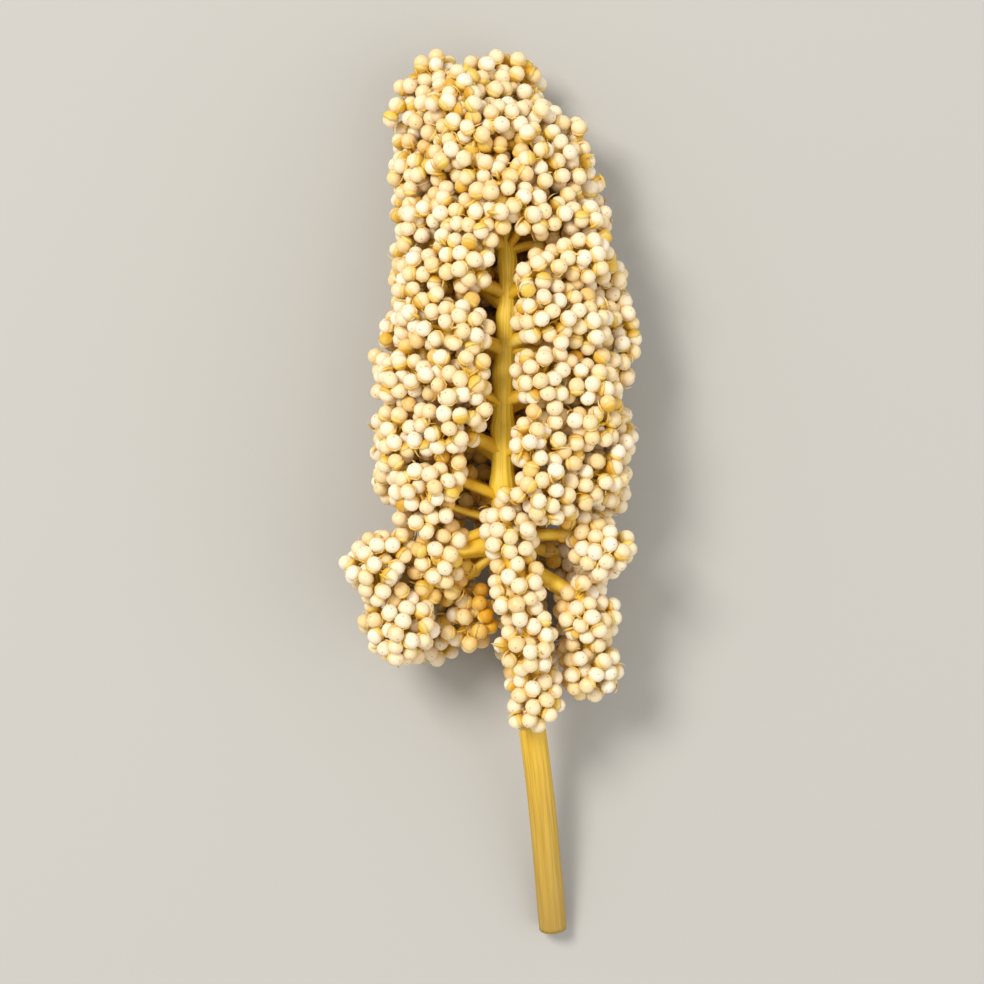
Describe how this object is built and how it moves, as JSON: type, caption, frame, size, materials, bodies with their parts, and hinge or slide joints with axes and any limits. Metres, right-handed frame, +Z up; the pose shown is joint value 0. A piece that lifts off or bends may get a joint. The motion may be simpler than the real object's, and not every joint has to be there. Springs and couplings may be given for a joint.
{
  "type": "sorghum seed head",
  "caption": "Ripe sorghum seed head, cut with a short stem and lying on its back, with lobes of packed pale grain in tiers round a bare stalk that shows in an open furrow.",
  "frame": {"origin": "on the surface the head rests on, under the middle of its bounding box", "axes": "+Y from the cut end of the stem towards the tip, +Z up with the open furrow on top, +X to the right seen from above with the tip away from the viewer"},
  "size_m": [0.071, 0.2106, 0.047],
  "materials": {
    "stalk": "dry plant stem, satin",
    "branch": "thin dry branches and husks, satin",
    "grain": "dry grain, slightly glossy"
  },
  "bodies": {
    "root": {"hanging_back": "grain", "hanging_back_left": "grain", "hanging_back_right": "grain", "hanging_left": "grain", "hanging_left_inner": "grain", "hanging_left_low": "grain", "hanging_middle": "grain", "hanging_right": "grain", "hanging_right_upper": "grain", "stalk": "stalk", "tier_1_branch_1": "grain", "tier_1_branch_2": "grain", "tier_1_branch_3": "grain", "tier_1_branch_4": "grain", "tier_2_branch_1": "grain", "tier_2_branch_2": "grain", "tier_2_branch_3": "grain", "tier_2_branch_4": "grain", "tier_2_branch_5": "grain", "tier_3_branch_1": "grain", "tier_3_branch_2": "grain", "tier_3_branch_3": "grain", "tier_3_branch_4": "grain", "tier_3_branch_5": "grain", "tier_4_branch_1": "grain", "tier_4_branch_2": "grain", "tier_4_branch_3": "grain", "tier_4_branch_4": "grain", "tier_4_branch_5": "grain", "tier_5_branch_1": "grain", "tier_5_branch_2": "grain", "tier_5_branch_3": "grain", "tier_5_branch_4": "grain", "tier_5_branch_5": "grain", "tier_6_branch_1": "grain", "tier_6_branch_2": "grain", "tier_6_branch_3": "grain", "tier_6_branch_4": "grain", "tier_7_branch_1": "grain", "tier_7_branch_2": "grain", "tier_7_branch_3": "grain", "tier_7_branch_4": "grain", "tier_8_branch_1": "grain", "tier_8_branch_2": "grain", "tier_8_branch_3": "grain", "tier_9_branch_1": "grain", "tier_9_branch_2": "grain"}
  },
  "joints": []
}
